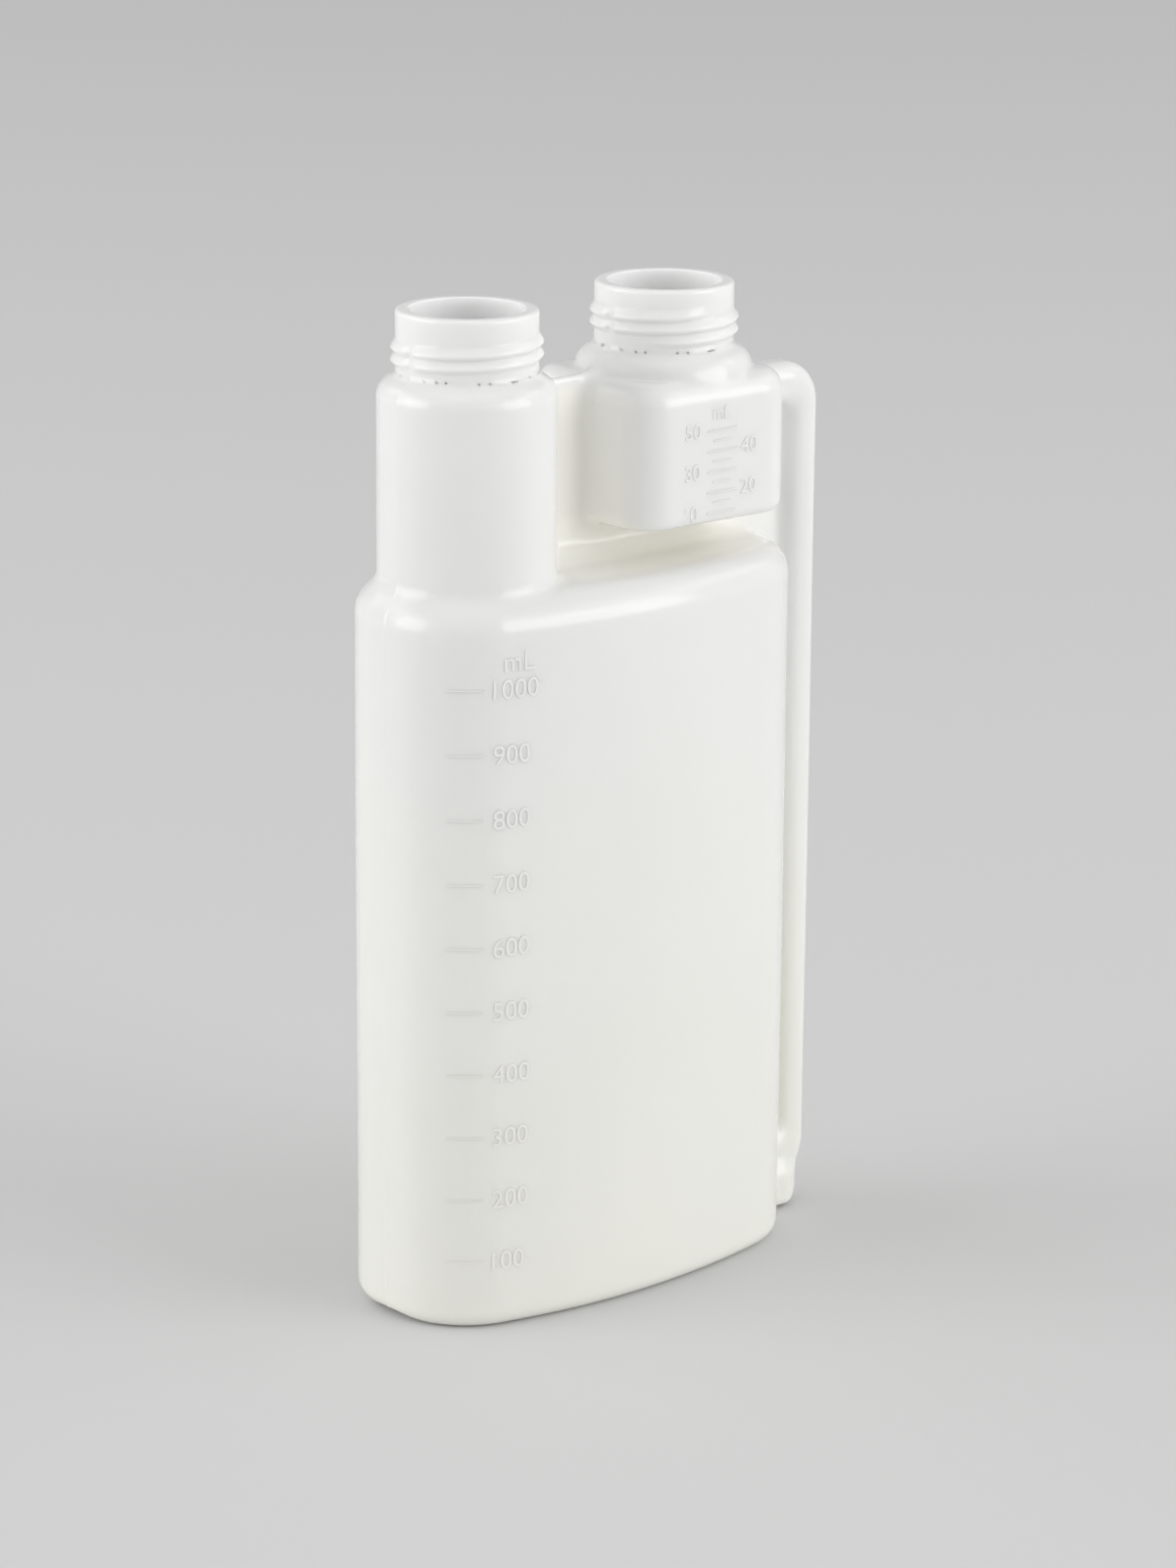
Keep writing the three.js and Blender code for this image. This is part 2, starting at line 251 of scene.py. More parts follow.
def body_plan(x, y):
    x = np.abs(x)
    y = np.abs(y)
    by_end = np.hypot(x - END_X, y) - BODY_END_RADIUS
    by_front = np.hypot(x, y - FRONT_Y) - BODY_FRONT_RADIUS
    by_corner = np.hypot(x - CORNER[0], y - CORNER[1]) - BODY_CORNER_RADIUS
    at_end = np.arctan2(y, x - END_X) < END_TURN
    at_front = np.arctan2(y - FRONT_Y, x) > FRONT_TURN
    side = np.where(at_end, by_end, by_corner)
    side = np.where(at_front, by_front, side)
    return np.where(at_end & at_front, np.maximum(by_end, by_front), side)


def block(plan, z, foot_z, top_z, foot_radius, top_radius):
    """An upright form over a plan distance, with a rounded foot and a rounded top."""
    top = rounded_corner(plan, z - top_z, top_radius)
    foot = rounded_corner(plan, foot_z - z, foot_radius)
    return np.where(z > (foot_z + top_z) / 2, top, foot)


def body(x, y, z):
    return block(body_plan(x, y), z, 0, BODY_HEIGHT, BODY_BASE_RADIUS, BODY_SHOULDER_RADIUS)


def base_channel(y, z, wall):
    """The shallow hollow along the base, as the space that stays outside a wide cylinder."""
    radius = (BASE_CHANNEL_WIDTH ** 2 / 4 + BASE_CHANNEL_DEPTH ** 2) / (2 * BASE_CHANNEL_DEPTH)
    return radius + wall - np.hypot(y, z - BASE_CHANNEL_DEPTH + radius)


def neck_column(x, y, z, centre_x, foot_z):
    """An upright round wall with a rounded shoulder."""
    across = np.hypot(x - centre_x, y) - COLUMN_RADIUS
    cap = rounded_corner(across, z - shoulder_z - SHOULDER_CAP_RISE, SHOULDER_ROUND)
    return np.maximum(cap, foot_z - z)


def neck_wall(x, y, z, centre_x, radius):
    return np.maximum(np.hypot(x - centre_x, y) - radius, shoulder_z - z)


def rounded_rectangle(u, v, half_u, half_v, radius):
    du = np.abs(u) - half_u + radius
    dv = np.abs(v) - half_v + radius
    past_corner = np.hypot(np.maximum(du, 0), np.maximum(dv, 0))
    return np.minimum(np.maximum(du, dv), 0) + past_corner - radius


def chamber(x, y, z):
    plan = rounded_rectangle(
        x - chamber_x, y, CHAMBER_LENGTH / 2, CHAMBER_DEPTH / 2, CHAMBER_CORNER_RADIUS)
    return block(plan, z, chamber_base_z, shoulder_z, CHAMBER_BASE_RADIUS, CHAMBER_TOP_RADIUS)


def bar(u, v, low_u, high_u, low_v, high_v, radius):
    return rounded_rectangle(
        u - (low_u + high_u) / 2, v - (low_v + high_v) / 2,
        (high_u - low_u) / 2, (high_v - low_v) / 2, radius)


def ease(share):
    share = np.clip(share, 0, 1)
    return share * share * (3 - 2 * share)


def tube(x, y, z):
    """The side tube with its bridge to the chamber and its link to the body."""
    link_top_z = TUBE_ABOVE_FLOOR + LINK_HEIGHT
    upright = bar(x, z, tube_left, tube_right + TUBE_WIDTH, TUBE_ABOVE_FLOOR, tube_top_z, 0)
    bridge = bar(x, z, chamber_x, tube_right, tube_top_z - BRIDGE_HEIGHT, tube_top_z, 0)
    link = bar(x, z, CORNER[0], tube_right, TUBE_ABOVE_FLOOR, link_top_z, 0)
    arms = smooth_union(smooth_union(upright, bridge, TUBE_BLEND), link, TUBE_BLEND)
    bend = bar(x, z, -body_end, tube_right, -BODY_HEIGHT, tube_top_z, TUBE_BEND_RADIUS)
    narrowing = ease((TUBE_TAPER_TOP_Z - z) / (TUBE_TAPER_TOP_Z - TUBE_TAPER_FOOT_Z))
    heel = bar(
        x + TUBE_FOOT_TAPER * narrowing, z, -body_end, tube_right, TUBE_ABOVE_FLOOR, 2 * rim_z,
        TUBE_HEEL_RADIUS)
    side = np.maximum(arms, np.maximum(bend, heel))
    return rounded_corner(side, np.abs(y) - TUBE_DEPTH / 2, TUBE_EDGE_RADIUS)


def flare(x, y, z):
    """The broad low boss between the foot of the body and the foot of the tube."""
    half_length = TUBE_FROM_BODY_END + TUBE_WIDTH / 2
    plan = rounded_rectangle(x - body_end, y, half_length, FLARE_DEPTH / 2, FLARE_CORNER_RADIUS)
    top_z = TUBE_ABOVE_FLOOR + FLARE_HEIGHT
    return block(plan, z, TUBE_ABOVE_FLOOR, top_z, FLARE_FOOT_RADIUS, FLARE_TOP_RADIUS)


def web(x, y, z):
    """The pinched flat panel between the column, the chamber, the tube and the body."""
    foot_z = BODY_HEIGHT - BODY_SHOULDER_RADIUS
    into_tube = tube_left + WEB_THICKNESS
    left = bar(x, z, column_x, chamber_x, foot_z, shoulder_z + WEB_ABOVE_SHOULDER, 0)
    middle = bar(x, z, chamber_x, into_tube, foot_z, tube_top_z - BRIDGE_HEIGHT / 2, 0)
    right = bar(x, z, CORNER[0], into_tube, LINK_HEIGHT / 2, BODY_HEIGHT, 0)
    side = np.minimum(np.minimum(left, middle), right)
    return rounded_corner(side, np.abs(y) - WEB_THICKNESS / 2, WEB_THICKNESS / 4)


def body_and_column(x, y, z):
    column = neck_column(x, y, z, column_x, BODY_HEIGHT / 2)
    return smooth_union(body(x, y, z), column, FOOT_BLEND)


def chamber_and_shoulder(x, y, z):
    shoulder = neck_column(x, y, z, chamber_neck_x, shoulder_z - CHAMBER_TOP_RADIUS)
    return smooth_union(chamber(x, y, z), shoulder, SHOULDER_BLEND)


def tube_and_flare(x, y, z):
    return smooth_union(tube(x, y, z), flare(x, y, z), WEB_BLEND)


def surface_detail(x, y, z):
    """How far the blown surface stands out of its ideal form."""
    wave = np.sin(x / WAVE_LONG_X + WAVE_START_X) * np.sin(z / WAVE_LONG_Z + WAVE_START_Z)
    wave += np.sin(x / WAVE_SHORT_X - z / WAVE_SHORT_Z) * np.sin(y / WAVE_SHORT_Y)
    calm = ease((shoulder_z - z) / WAVE_CALM_RUN)
    ridge = RIDGE_HEIGHT + PINCH_HEIGHT * ease(1 - z / BASE_CHANNEL_DEPTH)
    return WAVE_HEIGHT * wave * calm + ridge * np.exp(-(y / RIDGE_WIDTH) ** 2)


def outside(x, y, z):
    left = smooth_union(
        body_and_column(x, y, z), neck_wall(x, y, z, column_x, NECK_RADIUS), NECK_BLEND)
    right = smooth_union(
        chamber_and_shoulder(x, y, z), neck_wall(x, y, z, chamber_neck_x, NECK_RADIUS), NECK_BLEND)
    whole = smooth_union(left, tube_and_flare(x, y, z), TUBE_BLEND)
    whole = smooth_union(whole, right, WEB_BLEND)
    over_body = ease((body_end - x) / WEB_FOOT_RUN)
    near_body = ease((chamber_base_z + WEB_FOOT_TOP - z) / WEB_FOOT_RISE)
    share = over_body * (WEB_SIDE_SHARE + (1 - WEB_SIDE_SHARE) * near_body)
    web_blend = WEB_BLEND + (WEB_FOOT_BLEND - WEB_BLEND) * share
    whole = smooth_union(whole, web(x, y, z), web_blend)
    whole = smooth_cut(whole, base_channel(y, z, 0), CHANNEL_BLEND)
    return np.maximum(whole - surface_detail(x, y, z), -z)


def cavity(x, y, z):
    left = body_and_column(x, y, z) + WALL
    right = chamber_and_shoulder(x, y, z) + WALL
    whole = np.minimum(np.minimum(left, right), tube_and_flare(x, y, z) + WALL)
    for centre_x in (column_x, chamber_neck_x):
        whole = smooth_union(whole, neck_wall(x, y, z, centre_x, NECK_BORE_RADIUS), NECK_BLEND)
    return smooth_cut(whole, base_channel(y, z, WALL), CHANNEL_BLEND)


# Meshing: one vertex in each grid cell that the surface crosses

def spaced(stretches):
    """Grid lines of stretches that follow each other."""
    lines = [stretches[0][0]]
    for low, high, step in stretches:
        count = max(1, round((high - low) / step))
        lines.extend(low + (high - low) * (i + 1) / count for i in range(count))
    return np.array(lines)


def on_surface(points, form, rounds=4):
    """Moves points along the form's slope onto its surface."""
    for _ in range(rounds):
        x, y, z = points.T
        value = form(x, y, z)
        slope = np.stack([
            form(x + PROBE, y, z) - form(x - PROBE, y, z),
            form(x, y + PROBE, z) - form(x, y - PROBE, z),
            form(x, y, z + PROBE) - form(x, y, z - PROBE),
        ], axis=1) / (2 * PROBE)
        steep = np.maximum((slope ** 2).sum(axis=1), LEAST_SLOPE_SQUARED)
        points = points - slope * (value / steep)[:, None]
    return points


def net(form, xs, ys, zs):
    """Vertices, quads and the cell layer of each vertex, for the form's surface."""
    grid = np.meshgrid(xs, ys, zs, indexing="ij")
    value = form(*grid)
    inside = value < 0
    shape = tuple(n - 1 for n in value.shape)
    # Each vertex is the mean of the places where the surface crosses its cell's edges
    total = np.zeros(shape + (3,))
    count = np.zeros(shape)
    for axis in range(3):
        low = [slice(None)] * 3
        high = [slice(None)] * 3
        low[axis] = slice(None, -1)
        high[axis] = slice(1, None)
        low, high = tuple(low), tuple(high)
        crossed = inside[low] != inside[high]
        share = np.where(crossed, value[low] / np.where(crossed, value[low] - value[high], 1), 0)
        place = np.stack([g[low] + (g[high] - g[low]) * share for g in grid], axis=-1)
        others = [a for a in range(3) if a != axis]
        for first in (0, 1):
            for second in (0, 1):
                pick = [slice(None)] * 3
                pick[others[0]] = slice(first, shape[others[0]] + first)
                pick[others[1]] = slice(second, shape[others[1]] + second)
                hit = crossed[tuple(pick)]
                total += place[tuple(pick)] * hit[..., None]
                count += hit
    active = count > 0
    number = np.full(shape, -1)
    number[active] = np.arange(active.sum())
    points = total[active] / count[active][:, None]
    # Each grid edge that the surface crosses has one quad, between the four cells around it
    quads = []
    for axis in range(3):
        low = [slice(1, -1)] * 3
        high = [slice(1, -1)] * 3
        low[axis] = slice(None, -1)
        high[axis] = slice(1, None)
        below, above = inside[tuple(low)], inside[tuple(high)]
        spots = np.argwhere(below != above)
        leaving = below[tuple(spots.T)]
        for other in range(3):
            if other != axis:
                spots[:, other] += 1
        first, second = (axis + 1) % 3, (axis + 2) % 3
        around = []
        for back_first, back_second in ((1, 1), (0, 1), (0, 0), (1, 0)):
            cell = spots.copy()
            cell[:, first] -= back_first
            cell[:, second] -= back_second
            around.append(number[tuple(cell.T)])
        ring = np.stack(around, axis=1)
        quads.append(np.where(leaving[:, None], ring, ring[:, ::-1]))
    return points, np.concatenate(quads), np.argwhere(active)[:, 2]


def ring_around(points, layers, centre_x):
    """The open edge at the top of a net, in order round one neck."""
    last = np.flatnonzero(layers == layers.max())
    flat = points[last] - [centre_x, 0, 0]
    own = np.hypot(flat[:, 0], flat[:, 1]) < COLUMN_RADIUS
    turn = np.arctan2(flat[own, 1], flat[own, 0])
    order = np.argsort(turn)
    return last[own][order], turn[order]


def stitch(low, low_turn, high, high_turn):
    """Triangles between two rings that are sorted by their turn."""
    faces = []
    i = j = 0
    while i < len(low) or j < len(high):
        next_low = low_turn[i] if i < len(low) else math.inf
        next_high = high_turn[j] if j < len(high) else math.inf
        here_low, here_high = low[i % len(low) - 1], high[j % len(high) - 1]
        if next_low <= next_high:
            faces.append((here_low, low[i % len(low)], here_high))
            i += 1
        else:
            faces.append((here_low, high[j % len(high)], here_high))
            j += 1
    return faces


turns = -math.pi + 2 * math.pi * (np.arange(TURN_STEPS) + 0.5) / TURN_STEPS


def thread_height(turn, z, start_degrees):
    """How far the thread stands out of a neck at one turn angle and a set of heights."""
    start = math.radians(start_degrees)
    height = np.zeros_like(z)
    for lap in range(-1, math.ceil(THREAD_TURNS) + 1):
        climbed = (turn - start) / (2 * math.pi) + lap
        fade = min(climbed, THREAD_TURNS - climbed) * THREAD_RUNOUTS
        if fade <= 0:
            continue
        off = z - neck_base_z - THREAD_ABOVE_SHOULDER - THREAD_PITCH * climbed
        flank = 1 - np.maximum(off / THREAD_REACH_UP, -off / THREAD_REACH_DOWN)
        profile = (ease(flank) + np.clip(flank, 0, 1)) / 2
        height = np.maximum(height, THREAD_HEIGHT * min(1.0, fade) * profile)
    return height * ease(abs(math.sin(turn)) * NECK_RADIUS / THREAD_GAP)


def neck_rings(start_degrees, foot_z):
    """Rings of a neck from its foot, over the rim and down its bore, as (radius, z) per turn."""
    wall = np.linspace(foot_z, rim_z - NECK_EDGE_RADIUS, WALL_RINGS)
    bend = np.linspace(0, math.pi / 2, EDGE_RINGS + 1)[1:]
    inner_edge = NECK_EDGE_RADIUS / 2
    rings = []
    for turn in turns:
        seam = RIDGE_HEIGHT * math.exp(-(math.sin(turn) * NECK_RADIUS / RIDGE_WIDTH) ** 2)
        outer = NECK_RADIUS + thread_height(turn, wall, start_degrees) + seam
        edge_r = NECK_RADIUS - NECK_EDGE_RADIUS * (1 - np.cos(bend)) + seam * np.cos(bend)
        edge_z = rim_z - NECK_EDGE_RADIUS * (1 - np.sin(bend))
        bore_r = NECK_BORE_RADIUS + inner_edge * (1 - np.sin(bend))
        bore_z = rim_z - inner_edge * (1 - np.cos(bend))
        flat_end_r = NECK_BORE_RADIUS + inner_edge
        down = np.linspace(rim_z - inner_edge, foot_z, BORE_RINGS + 1)[1:]
        down_r = np.full(BORE_RINGS, NECK_BORE_RADIUS)
        rings.append(np.stack([
            np.concatenate([outer, edge_r, [flat_end_r], bore_r, down_r]),
            np.concatenate([wall, edge_z, [rim_z], bore_z, down]),
        ], axis=1))
    return np.stack(rings, axis=1)


def bottle_mesh():
    """One shell: the outer and inner nets, joined by each neck's rings, not quite closed there."""
    outer, outer_quads, outer_layers = net(
        outside, spaced(OUTER_WIDTHS), spaced(OUTER_DEPTHS), spaced(OUTER_HEIGHTS))
    outer = on_surface(outer, outside)
    inner, inner_quads, inner_layers = net(
        cavity, spaced(INNER_WIDTHS), spaced(INNER_DEPTHS), spaced(INNER_HEIGHTS))
    inner = on_surface(inner, cavity)
    points = [outer, inner]
    offset = len(outer)
    faces = [tuple(q) for q in outer_quads.tolist()]
    faces += [tuple(offset + v for v in reversed(q)) for q in inner_quads.tolist()]
    base = offset + len(inner)
    necks = ((column_x, FILLING_THREAD_START), (chamber_neck_x, DOSING_THREAD_START))
    for centre_x, start in necks:
        rings = neck_rings(start, RINGS_FOOT_Z)
        radius, z = rings[..., 0], rings[..., 1]
        x = centre_x + radius * np.cos(turns)
        y = radius * np.sin(turns)
        points.append(np.stack([x, y, z], axis=-1).reshape(-1, 3))
        rows = len(rings)
        for row in range(rows - 1):
            for i in range(TURN_STEPS):
                a = base + row * TURN_STEPS + i
                b = base + row * TURN_STEPS + (i + 1) % TURN_STEPS
                faces.append((a, b, b + TURN_STEPS, a + TURN_STEPS))
        first = base + np.arange(TURN_STEPS)
        last = base + (rows - 1) * TURN_STEPS + np.arange(TURN_STEPS)
        low, low_turn = ring_around(outer, outer_layers, centre_x)
        faces += stitch(low.tolist(), low_turn, first.tolist(), turns)
        low, low_turn = ring_around(inner, inner_layers, centre_x)
        inner_join = stitch((low + offset).tolist(), low_turn, last.tolist(), turns)
        faces += [face[::-1] for face in inner_join]
        base += rows * TURN_STEPS
    return np.concatenate(points), faces


def painted_light_shares(x, y, z):
    """Painted light: how much paler colour stands for light coming through the plastic, in the deep
    gaps round the web and in the bores.
    """
    past_column = ease((x - column_x - COLUMN_RADIUS + GAP_BEHIND_COLUMN) / GAP_COLUMN_RUN)
    before_end = ease((chamber_right + GAP_PAST_CHAMBER - x) / GAP_CHAMBER_RUN)
    over_body = ease((z - BODY_HEIGHT + GAP_BELOW_BODY_TOP) / GAP_BELOW_BODY_TOP)
    under_chamber = ease((chamber_base_z + GAP_TOP_RUN - z) / GAP_TOP_RUN)
    level = over_body * (GAP_UPPER_SHARE + (1 - GAP_UPPER_SHARE) * under_chamber)
    below_top = ease((shoulder_z - z) / GAP_TOP_RUN)
    deep = ease((CHAMBER_DEPTH / 2 + GAP_PAST_FRONT - np.abs(y)) / GAP_DEPTH_RUN)
    gap = past_column * before_end * level * below_top * deep
    radius = np.minimum(np.hypot(x - column_x, y), np.hypot(x - chamber_neck_x, y))
    inside = ease((NECK_BORE_RADIUS + BORE_PAST_WALL - radius) / BORE_WALL_RUN)
    bore = inside * ease((z - shoulder_z) / GAP_TOP_RUN)
    return gap, bore


def to_object(name, points, faces, smooth):
    mesh = bpy.data.meshes.new(name)
    placed = (np.asarray(points) + [shift_x, 0, 0]) * MM
    mesh.from_pydata(placed.tolist(), [], faces)
    # Painted light: how much of the paler gap and bore colours each point gets
    for attribute, share in zip(("painted_gap_light_share", "painted_bore_light_share"), painted_light_shares(*points.T)):
        shade = mesh.attributes.new(attribute, "FLOAT", "POINT")
        shade.data.foreach_set("value", share.astype(np.float32))
    mesh.validate()
    mesh.polygons.foreach_set("use_smooth", [smooth] * len(mesh.polygons))
    mesh.update()
    piece = bpy.data.objects.new(name, mesh)
    bpy.context.scene.collection.objects.link(piece)
    return piece


# Raised volume marks, laid out flat as (along, up, out) and then wrapped onto a wall

def front_wall(along):
    """Points and outward directions on the body's front outline, from its left end."""
    end_run = BODY_END_RADIUS * END_TURN
    corner_run = end_run + BODY_CORNER_RADIUS * (FRONT_TURN - END_TURN)
    arcs = [along < end_run, along > corner_run]
    turn = np.select(arcs, [
        along / BODY_END_RADIUS,
        FRONT_TURN + (along - corner_run) / BODY_FRONT_RADIUS,
    ], END_TURN + (along - end_run) / BODY_CORNER_RADIUS)
    radius = np.select(arcs, [BODY_END_RADIUS, BODY_FRONT_RADIUS], BODY_CORNER_RADIUS)
    centre_x = np.select(arcs, [-END_X, 0.0], -CORNER[0])
    centre_y = np.select(arcs, [0.0, -FRONT_Y], -CORNER[1])
    out = np.stack([-np.cos(turn), -np.sin(turn)], axis=1)
    return np.stack([centre_x, centre_y], axis=1) + out * radius[:, None], out


def chamber_wall(along):
    out = np.tile([0.0, -1.0], (len(along), 1))
    return np.stack([along, np.full(len(along), -CHAMBER_DEPTH / 2)], axis=1), out


def wrapped(marks, wall):
    """Marks on a wall, each point set out from the real surface under it."""
    foot, out = wall(marks[:, 0])
    x, y, z = foot[:, 0], foot[:, 1], marks[:, 1]
    stand = marks[:, 2] - outside(x, y, z)
    return np.stack([x + out[:, 0] * stand, y + out[:, 1] * stand, z], axis=1)


def tick(from_along, to_along, up):
    """A raised line with sloping sides."""
    stations = np.linspace(from_along, to_along, TICK_STATIONS)
    half = TICK_THICKNESS / 2
    section = [(-half, -MARK_SINK), (half, -MARK_SINK), (half - TICK_EDGE, TICK_RAISE),
               (TICK_EDGE - half, TICK_RAISE)]
    points = [(along, up + v, w) for along in stations for v, w in section]
    faces = [(3, 2, 1, 0)]
    for station in range(TICK_STATIONS - 1):
        low = 4 * station
        for i in range(4):
            j = (i + 1) % 4
            faces.append((low + i, low + j, low + j + 4, low + i + 4))
    last = len(points) - 4
    faces.append((last, last + 1, last + 2, last + 3))
    return np.array(points), faces


def label(text, height, from_along, middle_up):
    """Raised text whose capital height is given."""
    data = bpy.data.curves.new("label", "FONT")
    data.extrude = (MARK_RAISE + MARK_SINK) / 2 - MARK_EDGE
    data.bevel_depth = MARK_EDGE
    data.bevel_resolution = 1
    data.offset = -MARK_EDGE / 2
    data.resolution_u = 4
    data.size = height / CAPITAL_SHARE
    data.body = text
    flat = bpy.data.objects.new("label", data)
    bpy.context.scene.collection.objects.link(flat)
    bpy.context.view_layer.update()
    evaluated = flat.evaluated_get(bpy.context.evaluated_depsgraph_get())
    mesh = bpy.data.meshes.new_from_object(evaluated)
    points = np.array([tuple(vertex.co) for vertex in mesh.vertices])
    faces = [tuple(polygon.vertices) for polygon in mesh.polygons]
    bpy.data.objects.remove(flat)
    bpy.data.curves.remove(data)
    bpy.data.meshes.remove(mesh)
    points[:, 0] += from_along - points[:, 0].min()
    points[:, 1] += middle_up - height / 2
    points[:, 2] += (MARK_RAISE - MARK_SINK) / 2
    return points, faces


def worn(mark, share):
    """A mark of which only a share stands out of the wall."""
    points, faces = mark
    points[:, 2] = np.where(points[:, 2] > 0, points[:, 2] * share, points[:, 2])
    return points, faces


def body_marks():
    """The steps of 100 mL, which the mould gives less sharply towards the foot."""
    marks = []
    for count in range(BODY_MARK_COUNT, 0, -1):
        up = BODY_TOP_MARK_Z - (BODY_MARK_COUNT - count) * BODY_MARK_STEP
        share = LOW_MARK_SHARE + (1 - LOW_MARK_SHARE) * count / BODY_MARK_COUNT
        marks.append(worn(tick(BODY_TICK_FROM, BODY_TICK_TO, up), share))
        number = label(str(BODY_MARK_VOLUME * count), BODY_DIGIT_HEIGHT, BODY_LABEL_FROM, up)
        marks.append(worn(number, share))
    middle = BODY_UNIT_Z + BODY_DIGIT_HEIGHT / 2
    marks.append(label("mL", BODY_DIGIT_HEIGHT, BODY_UNIT_FROM, middle))
    return marks


def chamber_tick(length, up):
    return tick(chamber_x - length / 2, chamber_x + length / 2, up)


def chamber_marks():
    """The steps of 10 mL, with numbers on alternate sides and a short line at each half step."""
    marks = []
    for count in range(CHAMBER_MARK_COUNT, 0, -1):
        up = CHAMBER_TOP_MARK_Z - (CHAMBER_MARK_COUNT - count) * CHAMBER_MARK_STEP
        marks.append(chamber_tick(CHAMBER_LONG_TICK, up))
        side = CHAMBER_LABEL_LEFT if count % 2 else CHAMBER_LABEL_RIGHT
        number = str(CHAMBER_MARK_VOLUME * count)
        marks.append(label(number, CHAMBER_DIGIT_HEIGHT, side, up + CHAMBER_LABEL_RISE))
        if count > 1:
            marks.append(chamber_tick(CHAMBER_SHORT_TICK, up - CHAMBER_MARK_STEP / 2))
    middle = CHAMBER_UNIT_Z + CHAMBER_UNIT_HEIGHT / 2
    marks.append(label("mL", CHAMBER_UNIT_HEIGHT, CHAMBER_UNIT_FROM, middle))
    return marks


def marks_mesh():
    points, faces, offset = [], [], 0
    for marks, wall in ((body_marks(), front_wall), (chamber_marks(), chamber_wall)):
        for mark_points, mark_faces in marks:
            points.append(wrapped(mark_points, wall))
            faces += [tuple(offset + v for v in face) for face in mark_faces]
            offset += len(mark_points)
    return np.concatenate(points), faces


# Materials

LOW_COLOUR = (0.85, 0.845, 0.785)
HIGH_COLOUR = (0.85, 0.85, 0.84)
# Painted light: a pale, warm base colour for the gaps round the web, standing in for light through
# the plastic
PAINTED_GAP_LIGHT_COLOUR = (0.96, 0.94, 0.87)
# Painted light: a paler base colour inside the neck bores, standing in for light that reaches them
PAINTED_BORE_LIGHT_COLOUR = (0.93, 0.93, 0.925)
TINT_LOW_HEIGHT = 0.03  # metres, as the shader's coordinates are
TINT_HIGH_HEIGHT = 0.24
CLOUD_SCALE = 18
CLOUD_DETAIL = 3
CLOUD_SHIFT = 0.06
PLASTIC_ROUGHNESS = 0.14
PLASTIC_IOR = 1.5
PLASTIC_SCATTER = 0.9
NO_SCATTER = 0.0  # the marks reach into the wall, where scattered light would darken them
SCATTER_RADIUS = (1.0, 1.0, 1.0)
SCATTER_SCALE = 0.0018
GRAIN_SCALE = 420
GRAIN_DETAIL = 4
GRAIN_STRENGTH = 0.02
GRAIN_DISTANCE = 0.0004


def plastic(name, scatter):
    """Natural polyethylene: milky and semi-gloss, with painted light: a paler base colour where
    light comes through from inside.
    """
    material = bpy.data.materials.new(name)
    material.use_nodes = True
    nodes, links = material.node_tree.nodes, material.node_tree.links
    shader = nodes["Principled BSDF"]
    shader.inputs["Roughness"].default_value = PLASTIC_ROUGHNESS
    shader.inputs["IOR"].default_value = PLASTIC_IOR
    shader.inputs["Subsurface Weight"].default_value = scatter
    shader.inputs["Subsurface Radius"].default_value = SCATTER_RADIUS
    shader.inputs["Subsurface Scale"].default_value = SCATTER_SCALE
    place = nodes.new("ShaderNodeTexCoord")
    cloud = nodes.new("ShaderNodeTexNoise")
    cloud.inputs["Scale"].default_value = CLOUD_SCALE
    cloud.inputs["Detail"].default_value = CLOUD_DETAIL
    split = nodes.new("ShaderNodeSeparateXYZ")
    cloudy = nodes.new("ShaderNodeMath")
    cloudy.operation = "MULTIPLY_ADD"
    cloudy.inputs[1].default_value = CLOUD_SHIFT
    height = nodes.new("ShaderNodeMapRange")
    height.inputs["From Min"].default_value = TINT_LOW_HEIGHT
    height.inputs["From Max"].default_value = TINT_HIGH_HEIGHT
    tint = nodes.new("ShaderNodeMix")
    tint.data_type = "RGBA"
    tint.inputs["A"].default_value = (*LOW_COLOUR, 1)
    tint.inputs["B"].default_value = (*HIGH_COLOUR, 1)
    fine = nodes.new("ShaderNodeTexNoise")
    fine.inputs["Scale"].default_value = GRAIN_SCALE
    fine.inputs["Detail"].default_value = GRAIN_DETAIL
    bump = nodes.new("ShaderNodeBump")
    bump.inputs["Strength"].default_value = GRAIN_STRENGTH
    bump.inputs["Distance"].default_value = GRAIN_DISTANCE
    links.new(place.outputs["Object"], cloud.inputs["Vector"])
    links.new(place.outputs["Object"], fine.inputs["Vector"])
    links.new(place.outputs["Object"], split.inputs["Vector"])
    links.new(cloud.outputs["Fac"], cloudy.inputs[0])
    links.new(split.outputs["Z"], cloudy.inputs[2])
    links.new(cloudy.outputs["Value"], height.inputs["Value"])
    links.new(height.outputs["Result"], tint.inputs["Factor"])
    colour = tint.outputs["Result"]
    # Painted light: mixes the base colour towards paler colours in the gaps and in the bores
    for attribute, painted_light_colour in (("painted_gap_light_share", PAINTED_GAP_LIGHT_COLOUR), ("painted_bore_light_share", PAINTED_BORE_LIGHT_COLOUR)):
        amount = nodes.new("ShaderNodeAttribute")
        amount.attribute_name = attribute
        painted_glow = nodes.new("ShaderNodeMix")
        painted_glow.data_type = "RGBA"
        painted_glow.inputs["B"].default_value = (*painted_light_colour, 1)
        links.new(amount.outputs["Fac"], painted_glow.inputs["Factor"])
        links.new(colour, painted_glow.inputs["A"])
        colour = painted_glow.outputs["Result"]
    links.new(colour, shader.inputs["Base Color"])
    links.new(fine.outputs["Fac"], bump.inputs["Height"])
    links.new(bump.outputs["Normal"], shader.inputs["Normal"])
    return material


bottle = to_object("bottle_shell", *bottle_mesh(), True)
bottle.data.materials.append(plastic("natural_plastic_and_painted_light", PLASTIC_SCATTER))
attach(bottle, "root")
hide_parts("bottle")

marks = to_object("volume_marks", *marks_mesh(), False)
marks.data.materials.append(plastic("mark_plastic_and_painted_light", NO_SCATTER))
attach(marks, "root")


# Stage: camera, floor and soft lights

